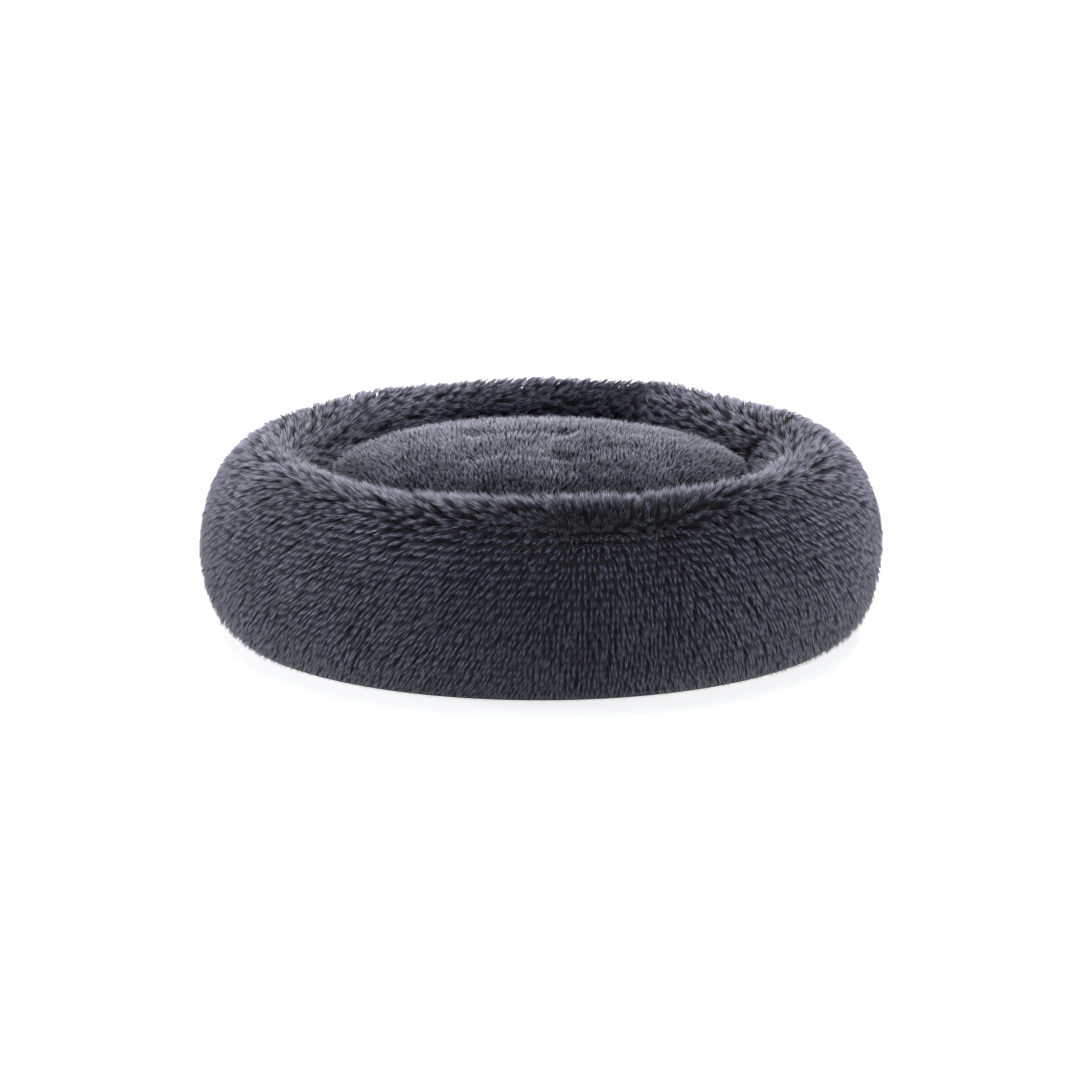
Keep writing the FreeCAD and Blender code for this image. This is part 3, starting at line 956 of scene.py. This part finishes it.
def cushion_fur(cloth, tree, material):
    """Rows of tufts straight across the top, and round the side."""
    rng = np.random.default_rng(11)
    normals = grid_normals(cloth, True)
    foot = float(corners("cushion_base_cloth")[:, 2].min()) + 0.5 * MM
    bay = zip_bay("cushion_zip")
    radius = np.hypot(cloth[0, :, 0], cloth[0, :, 1])
    edge = int(np.argmax(radius))
    steps = np.arange(-60, 60) * CUSHION_TUFT + CUSHION_TUFT / 2
    x, y = (grid.ravel() for grid in np.meshgrid(steps, steps, indexing="ij"))
    x = x + rng.uniform(-LOOSE, LOOSE, x.size) * CUSHION_TUFT
    y = y + rng.uniform(-LOOSE, LOOSE, x.size) * CUSHION_TUFT
    out = np.hypot(x, y)
    inside = (out < radius[edge] - 1 * MM) & (out > radius[-1] + 0.1 * MM)
    x, y, out = x[inside], y[inside], out[inside]
    ring = np.interp(-out, -radius[edge:], np.arange(edge, len(radius)))
    around = np.arctan2(y, x)
    patches = [
        ("top_front", y < 0, ring, around, TOP_FUR), ("top_back", y >= 0, ring, around, TOP_FUR)
    ]
    run = np.linalg.norm(np.diff(cloth[0], axis=0), axis=1)[:edge].sum()
    columns = int(2 * math.pi * radius[edge] / SIDE_COLUMN)
    rows = int(run / SIDE_ROW)
    i, j = np.meshgrid(np.arange(columns), np.arange(rows) + 0.6, indexing="ij")
    i, j = (grid.ravel() + rng.uniform(-LOOSE, LOOSE, grid.size) for grid in (i, j))
    patches.append(("side", slice(None), j / rows * edge, i / columns * 2 * math.pi, SIDE_FUR))
    for name, chosen, gj, turn, growth in patches:
        gj, turn = gj[chosen], turn[chosen]
        gi = turn / (2 * math.pi) * CUSHION_COLUMNS
        place = sample(cloth, gi, gj)
        normal = unit(sample(normals, gi, gj))
        outward = round_z(turn)[0]
        spread = np.clip(np.hypot(place[:, 0], place[:, 1]) / radius[edge], 0, 1)
        steep = 1 - smoothstep(normal[:, 2], 0.35, 0.75)
        lie = normal + outward * (0.5 * spread)[:, None] + steep[:, None] * [0, 0, -1.6]
        for spot in tie_spots():
            away = place[:, :2] - spot
            gap = np.linalg.norm(away, axis=1)
            pull = np.exp(-(gap / TIE_PULL) ** 2)
            lie[:, :2] -= 0.6 * away / np.maximum(gap, 1e-4)[:, None] * pull[:, None]
        lie = lie + drift(place, 16, 5) * 0.4 + drift(place, 60, 6) * 0.3
        lie = unit(lie + rng.normal(0, 0.08, lie.shape))
        length = CUSHION_LENGTH * rng.uniform(0.8, 1.1, len(place))
        for spot in tie_spots():
            gap = np.linalg.norm(place[:, :2] - spot, axis=1)
            length *= 1 - 0.55 * np.exp(-(gap / TIE_SHORT) ** 2)
        lie = off_floor(place, lie, length, foot)
        tone = np.clip(0.55 + rng.normal(0, 0.12, len(place)) + drift(place, 22, 7)[:, 0] * 0.3, 0, 1)
        keep = ~bay(place)
        field = tuft_field(place[keep], normal[keep], lie[keep], length[keep], tone[keep])
        piece = grown(
            f"cushion_fur_{name}", tree, field, Seed=905, Gather=0.45, Floor=foot,
            Material=material, **growth,
        )
        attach(piece, "cushion")
        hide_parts("cushion_fur_cover")


# ------------------------------------------------------------------ rows of small things
def row_tree(name, sizes, shape):
    """Puts one small shape on every corner of a mesh, turned by the corner's out and along vectors."""
    n, given = start_tree(name, sizes)
    points = n.shape("MeshToPoints", {"Mesh": given["Geometry"]}, "Points", mode="VERTICES")
    out, along = (
        n.shape("InputNamedAttribute", {"Name": word}, "Attribute", data_type="FLOAT_VECTOR")
        for word in ("out", "along")
    )
    turn = n.add(
        "FunctionNodeAxesToRotation", {"primary_axis": "Z", "secondary_axis": "X"},
        {"Primary Axis": out, "Secondary Axis": along}, "Rotation",
    )
    sockets = {"Points": points, "Instance": shape(n, given), "Rotation": turn}
    things = n.shape("InstanceOnPoints", sockets, "Instances")
    things = n.shape("RealizeInstances", {"Geometry": things})
    return end_tree(n, given, things)


def turned(n, geometry, turn=(0, 0, 0), scale=(1, 1, 1)):
    return n.shape("Transform", {"Geometry": geometry, "Rotation": turn, "Scale": scale})


def coil_shape(n, given):
    """One turn of a zip's coil: a loop of wire, along X across the tape's run, leaning a little."""
    loop = n.shape("CurvePrimitiveCircle", {"Resolution": 7, "Radius": 1.0}, "Curve")
    loop = turned(n, loop, turn=(math.pi / 2, 0, 0))
    oval = n.vector(given["Reach"], 1.0, given["Depth"])
    place = n.shape("InputPosition", {}, "Position")
    loop = n.shape("SetPosition", {"Geometry": loop, "Position": place * oval})
    wire = n.shape("CurvePrimitiveCircle", {"Resolution": 4, "Radius": given["Wire"]}, "Curve")
    return n.shape("CurveToMesh", {"Curve": loop, "Profile Curve": wire}, "Mesh")


def stitch_shape(n, given):
    """One stitch: a short thread along X, half sunk in the cloth."""
    bead = n.shape("MeshUVSphere", {"Segments": 6, "Rings": 4, "Radius": 0.5}, "Mesh")
    return turned(n, bead, scale=n.vector(given["Length"], given["Wire"], given["Wire"]))


def dot_shape(n, given):
    """One grip dot, with its rim drawn in towards the floor."""
    return n.shape("MeshCone", {
        "Vertices": 24, "Side Segments": 1, "Radius Top": given["Face"],
        "Radius Bottom": given["Radius"], "Depth": given["Height"],
    }, "Mesh", fill_type="NGON")


def spun_row(radius, height, start, end, pitch, out):
    """Places along an arc round Z, with the vectors out of the surface and along the arc."""
    count = max(2, int((end - start) * radius / pitch))
    away, along = round_z(np.linspace(start, end, count))
    return away * radius + [0, 0, height], away * out[0] + [0, 0, out[1]], along


class Tape:
    """One zip tape: its section's middle, its direction up the section and out of it, and its ends."""

    def __init__(self, node):
        spots = corners(node)
        turns = np.arctan2(spots[:, 1], spots[:, 0])
        self.start, self.end = turns.min(), turns.max()
        flat = np.stack([np.hypot(spots[:, 0], spots[:, 1]), spots[:, 2]], axis=1)
        flat = flat[np.abs(turns - self.start) < 1e-4]
        self.middle = (flat.max(0) + flat.min(0)) / 2
        order = np.argsort(flat[:, 1])
        half = len(flat) // 2
        up = flat[order[half:]].mean(0) - flat[order[:half]].mean(0)
        self.up = up / np.linalg.norm(up)
        self.out = np.array([self.up[1], -self.up[0]])
        self.reach = np.abs((flat - self.middle) @ self.up).max()
        self.thick = np.abs((flat - self.middle) @ self.out).max()


COIL_PITCH = 1.7 * MM
COIL_REACH = 1.25 * MM  # half the length of one turn
COIL_INSET = 0.35 * MM  # how far the turns are shifted in towards the other tape
COIL_LEAN = 0.25
STITCH_PITCH = 3.4 * MM
STITCH_INSET = 2.2 * MM  # from the tape's edge
BINDING_PITCH = 4.2 * MM


def zip_rows(materials):
    """The coils, and a row of stitches along the outer edge of each tape."""
    coil = row_tree("Coil", {"Reach": 1.0 * MM, "Depth": 1.0 * MM, "Wire": 0.3 * MM}, coil_shape)
    stitch = row_tree("Stitches", {"Length": 2.2 * MM, "Wire": 0.5 * MM}, stitch_shape)
    for zip_name, body in (("rim_zip", "rim"), ("cushion_zip", "cushion")):
        for sign, word in ((1, "upper"), (-1, "lower")):
            tape = Tape(f"{zip_name}_tape_{word}")
            bar = Tape(f"{zip_name}_coil_{word}")
            offset = (bar.middle - tape.middle) @ tape.up
            radius, height = tape.middle + tape.up * (offset - sign * COIL_INSET)
            start = bar.start + (sign > 0) * COIL_PITCH / 2 / radius
            place, out, along = spun_row(radius, height, start, bar.end, COIL_PITCH, tape.out)
            up = np.cross(out, along)
            field = loose_corners(place, out=out, along=up + COIL_LEAN * along)
            piece = grown(
                f"{zip_name}_turns_{word}", coil, field, Reach=COIL_REACH, Material=materials["coil"]
            )
            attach(smooth(piece), body)
            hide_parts(f"{zip_name}_coil_{word}")
            edge = tape.middle + tape.up * sign * (tape.reach - STITCH_INSET) + tape.out * tape.thick
            place, out, along = spun_row(*edge, tape.start, tape.end, STITCH_PITCH, tape.out)
            piece = grown(
                f"{zip_name}_stitches_{word}", stitch, loose_corners(place, out=out, along=along),
                Material=materials["thread"],
            )
            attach(smooth(piece), body)
    binding = corners("base_binding")
    radius = np.hypot(binding[:, 0], binding[:, 1])
    height = (binding[:, 2].max() + binding[:, 2].min()) / 2
    place, out, along = spun_row(radius.max(), height, 0, 2 * math.pi, BINDING_PITCH, (1.0, 0.0))
    piece = grown(
        "binding_stitches", stitch, loose_corners(place, out=out, along=along), Length=3 * MM,
        Wire=0.7 * MM, Material=materials["thread"],
    )
    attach(smooth(piece), "rim")


def grip_dots(material):
    spots = corners("anti_slip_dots")
    centres = np.array(middles(spots))
    low, high = spots[:, 2].min(), spots[:, 2].max()
    radius = (spots[np.hypot(spots[:, 0], spots[:, 1]) < 30 * MM, 0]).max()
    place = np.column_stack([centres, np.full(len(centres), high)])
    out = np.tile([0, 0, -1.0], (len(centres), 1))
    along = np.tile([1.0, 0, 0], (len(centres), 1))
    tree = row_tree("Dots", {"Radius": radius, "Face": radius * 0.82, "Height": high - low}, dot_shape)
    piece = grown("grip_dots", tree, loose_corners(place, out=out, along=along), Material=material)
    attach(piece, "rim")
    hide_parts("anti_slip_dots")


def care_label(material):
    """A blank woven label that leaves the seam level and droops to its free end."""
    spots = corners("care_label")
    around = np.arctan2(spots[:, 1], spots[:, 0]).mean()
    out = np.array([math.cos(around), math.sin(around), 0])
    side = np.array([-out[1], out[0], 0])
    near, far = (spots @ out).min(), (spots @ out).max()
    half = np.abs(spots @ side).max()
    top, bottom = spots[:, 2].max(), spots[:, 2].min()
    thick = 0.35 * MM
    along = np.linspace(0, 1, 13)
    drop = (bottom - 1.2 * MM) * along ** 2
    flat = out * (near + (far - near) * along)[:, None]
    flat[:, 2] = top - thick / 2 - drop
    across = np.linspace(-1, 1, 9)
    grid = flat[None] + side * (across * half)[:, None, None]
    grid[:, :, 2] += 0.5 * MM * np.sin(across * 3)[:, None] * along ** 2
    normal = grid_normals(grid, False)
    piece = shell("blank_label", grid + normal * thick / 2, grid - normal * thick / 2, material)
    length = np.hypot(np.diff(flat[:, 2]), np.diff(flat @ out)).sum()
    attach(piece, "rim")
    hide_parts("care_label")


def softened(node, width, body, material):
    """A copy of a hard CAD node with its edges rounded over."""
    carrier = linked(node + "_carrier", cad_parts[node].data.copy())
    weld = carrier.modifiers.new("Weld", "WELD")
    weld.merge_threshold = 0.001 * MM
    bevel = carrier.modifiers.new("Bevel", "BEVEL")
    bevel.width = width
    bevel.segments = 2
    bevel.limit_method = "ANGLE"
    bevel.angle_limit = math.radians(40)
    piece = applied(node + "_metal", carrier)
    piece.data.materials.clear()
    piece.data.materials.append(material)
    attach(piece, body)
    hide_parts(node)


# ------------------------------------------------------------------ carried-over nodes
def dress(material, *nodes):
    for node in nodes:
        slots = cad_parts[node].data.materials
        slots.clear()
        slots.append(material)


def dress_nodes():
    base = weave_finish("charcoal_oxford_cloth", (0.012, 0.012, 0.016), (0.045, 0.045, 0.056), 1.1 * MM)
    dress(base, "base_cloth", "cushion_base_cloth")
    binding = ribbed_finish("ribbed_binding", (0.010, 0.010, 0.013), (0.04, 0.04, 0.05), 1.0 * MM)
    dress(binding, "base_binding")
    liner = fleece_finish("white_liner_cloth", (0.62, 0.62, 0.6), (0.8, 0.8, 0.79), 260.0)
    dress(liner, "rim_liner_bag", "cushion_liner_bag")
    filling = fleece_finish("polyester_fibre", (0.7, 0.7, 0.69), (0.88, 0.88, 0.87), 90.0)
    dress(filling, "rim_filling", "cushion_filling")
    dress(thread_finish("tie_thread", (0.03, 0.03, 0.04), (0.09, 0.09, 0.11)), "cushion_tack_ties")
    tape = ribbed_finish("herringbone_zip_tape", (0.02, 0.02, 0.026), (0.07, 0.07, 0.085), 0.7 * MM)
    metal = metal_finish()
    for zip_name in ("rim_zip", "cushion_zip"):
        dress(tape, zip_name + "_tape_upper", zip_name + "_tape_lower")
        softened(zip_name + "_stops", 0.2 * MM, zip_name.removesuffix("_zip"), metal)
        softened(zip_name + "_slider", 0.15 * MM, zip_name + "_slider", metal)
        softened(zip_name + "_pull", 0.2 * MM, zip_name + "_pull", metal)
    thread = thread_finish("sewing_thread", (0.03, 0.03, 0.04), (0.10, 0.10, 0.12))
    zip_rows({"coil": plastic_finish(), "thread": thread})
    grip_dots(rubber_finish())
    care_label(weave_finish("satin_label", (0.6, 0.6, 0.58), (0.82, 0.82, 0.8), 0.5 * MM, 0.5))


# ------------------------------------------------------------------ stage
def area_light(name, place, aim, size, power, colour=(1, 1, 1)):
    data = bpy.data.lights.new(name, "AREA")
    data.shape = "RECTANGLE"
    data.size, data.size_y = size
    data.energy = power
    data.color = colour
    light = linked(name, data)
    light.location = place
    light.rotation_euler = (Vector(aim) - Vector(place)).to_track_quat("-Z", "Y").to_euler()


def make_stage():
    half = 25.0
    floor = new_object(
        "studio_floor", [(-half, -half, 0), (half, -half, 0), (half, half, 0), (-half, half, 0)],
        [(0, 1, 2, 3)],
    )
    paper = Finish("white_paper", Roughness=0.9, Emission_Strength=0.75, Emission_Color=(1, 1, 1, 1))
    paper.feed("Base Color", paper.mix(paper.speckle(3.0), (0.86, 0.86, 0.86), (0.88, 0.88, 0.88)))
    floor.data.materials.append(paper.material)
    floor.visible_diffuse = False
    middle = (0, 0, 0.1)
    area_light("overhead", (0, 1.2, 3.3), middle, (3.0, 1.6), 78)
    area_light("behind", (0, 3.2, 2.2), middle, (3.4, 1.2), 160)
    area_light("left", (-3.0, 0.3, 0.45), middle, (1.6, 0.7), 68)
    area_light("right", (3.0, 0.3, 0.28), middle, (1.6, 0.45), 74)
    area_light("front", (0, -4.0, 0.5), middle, (1.4, 0.8), 45)
    world = bpy.data.worlds.new("studio")
    world.use_nodes = True
    sky = world.node_tree.nodes["Background"].inputs
    sky["Color"].default_value = (0.72, 0.78, 1, 1)
    sky["Strength"].default_value = 0.11
    bpy.context.scene.world = world
    bpy.context.scene.view_settings.view_transform = "Standard"
    bpy.context.scene.view_settings.look = "None"


def make_camera():
    data = bpy.data.cameras.new("camera")
    data.sensor_width = 36
    data.lens = 272.7
    data.clip_end = 100
    camera = linked("camera", data)
    rise = math.radians(13.8)
    back = Vector((0, -math.cos(rise), math.sin(rise)))
    camera.location = Vector((0, 0, 0.095)) + back * 9.06
    camera.rotation_euler = (-back).to_track_quat("-Z", "Y").to_euler()
    bpy.context.scene.camera = camera


def main():
    noise.seed_set(3)  # without it, the noise vectors follow the clock
    make_camera()
    make_stage()
    rim = Rim()
    tree = strand_tree()
    backing = backing_finish()
    long_fur = fur_finish(
        "slate_long_fur", (0.003, 0.003, 0.009), (0.047, 0.048, 0.092), (0.37, 0.37, 0.485)
    )
    # The cushion's short fur: its own slate colour, raised lighter as painted light standing for the lamp
    # light on the cushion's top.
    short_fur_painted_lighter = fur_finish(
        "slate_short_fur", (0.010, 0.010, 0.018), (0.10, 0.10, 0.142), (0.35, 0.35, 0.435)
    )
    cloth = rim_cloth(rim)
    rim_panels(rim, cloth, backing)
    rim_fur(rim, cloth, tree, long_fur)
    pad = cushion_cloth()
    cushion_shell(pad, backing)
    cushion_fur(pad, tree, short_fur_painted_lighter)
    dress_nodes()


main()
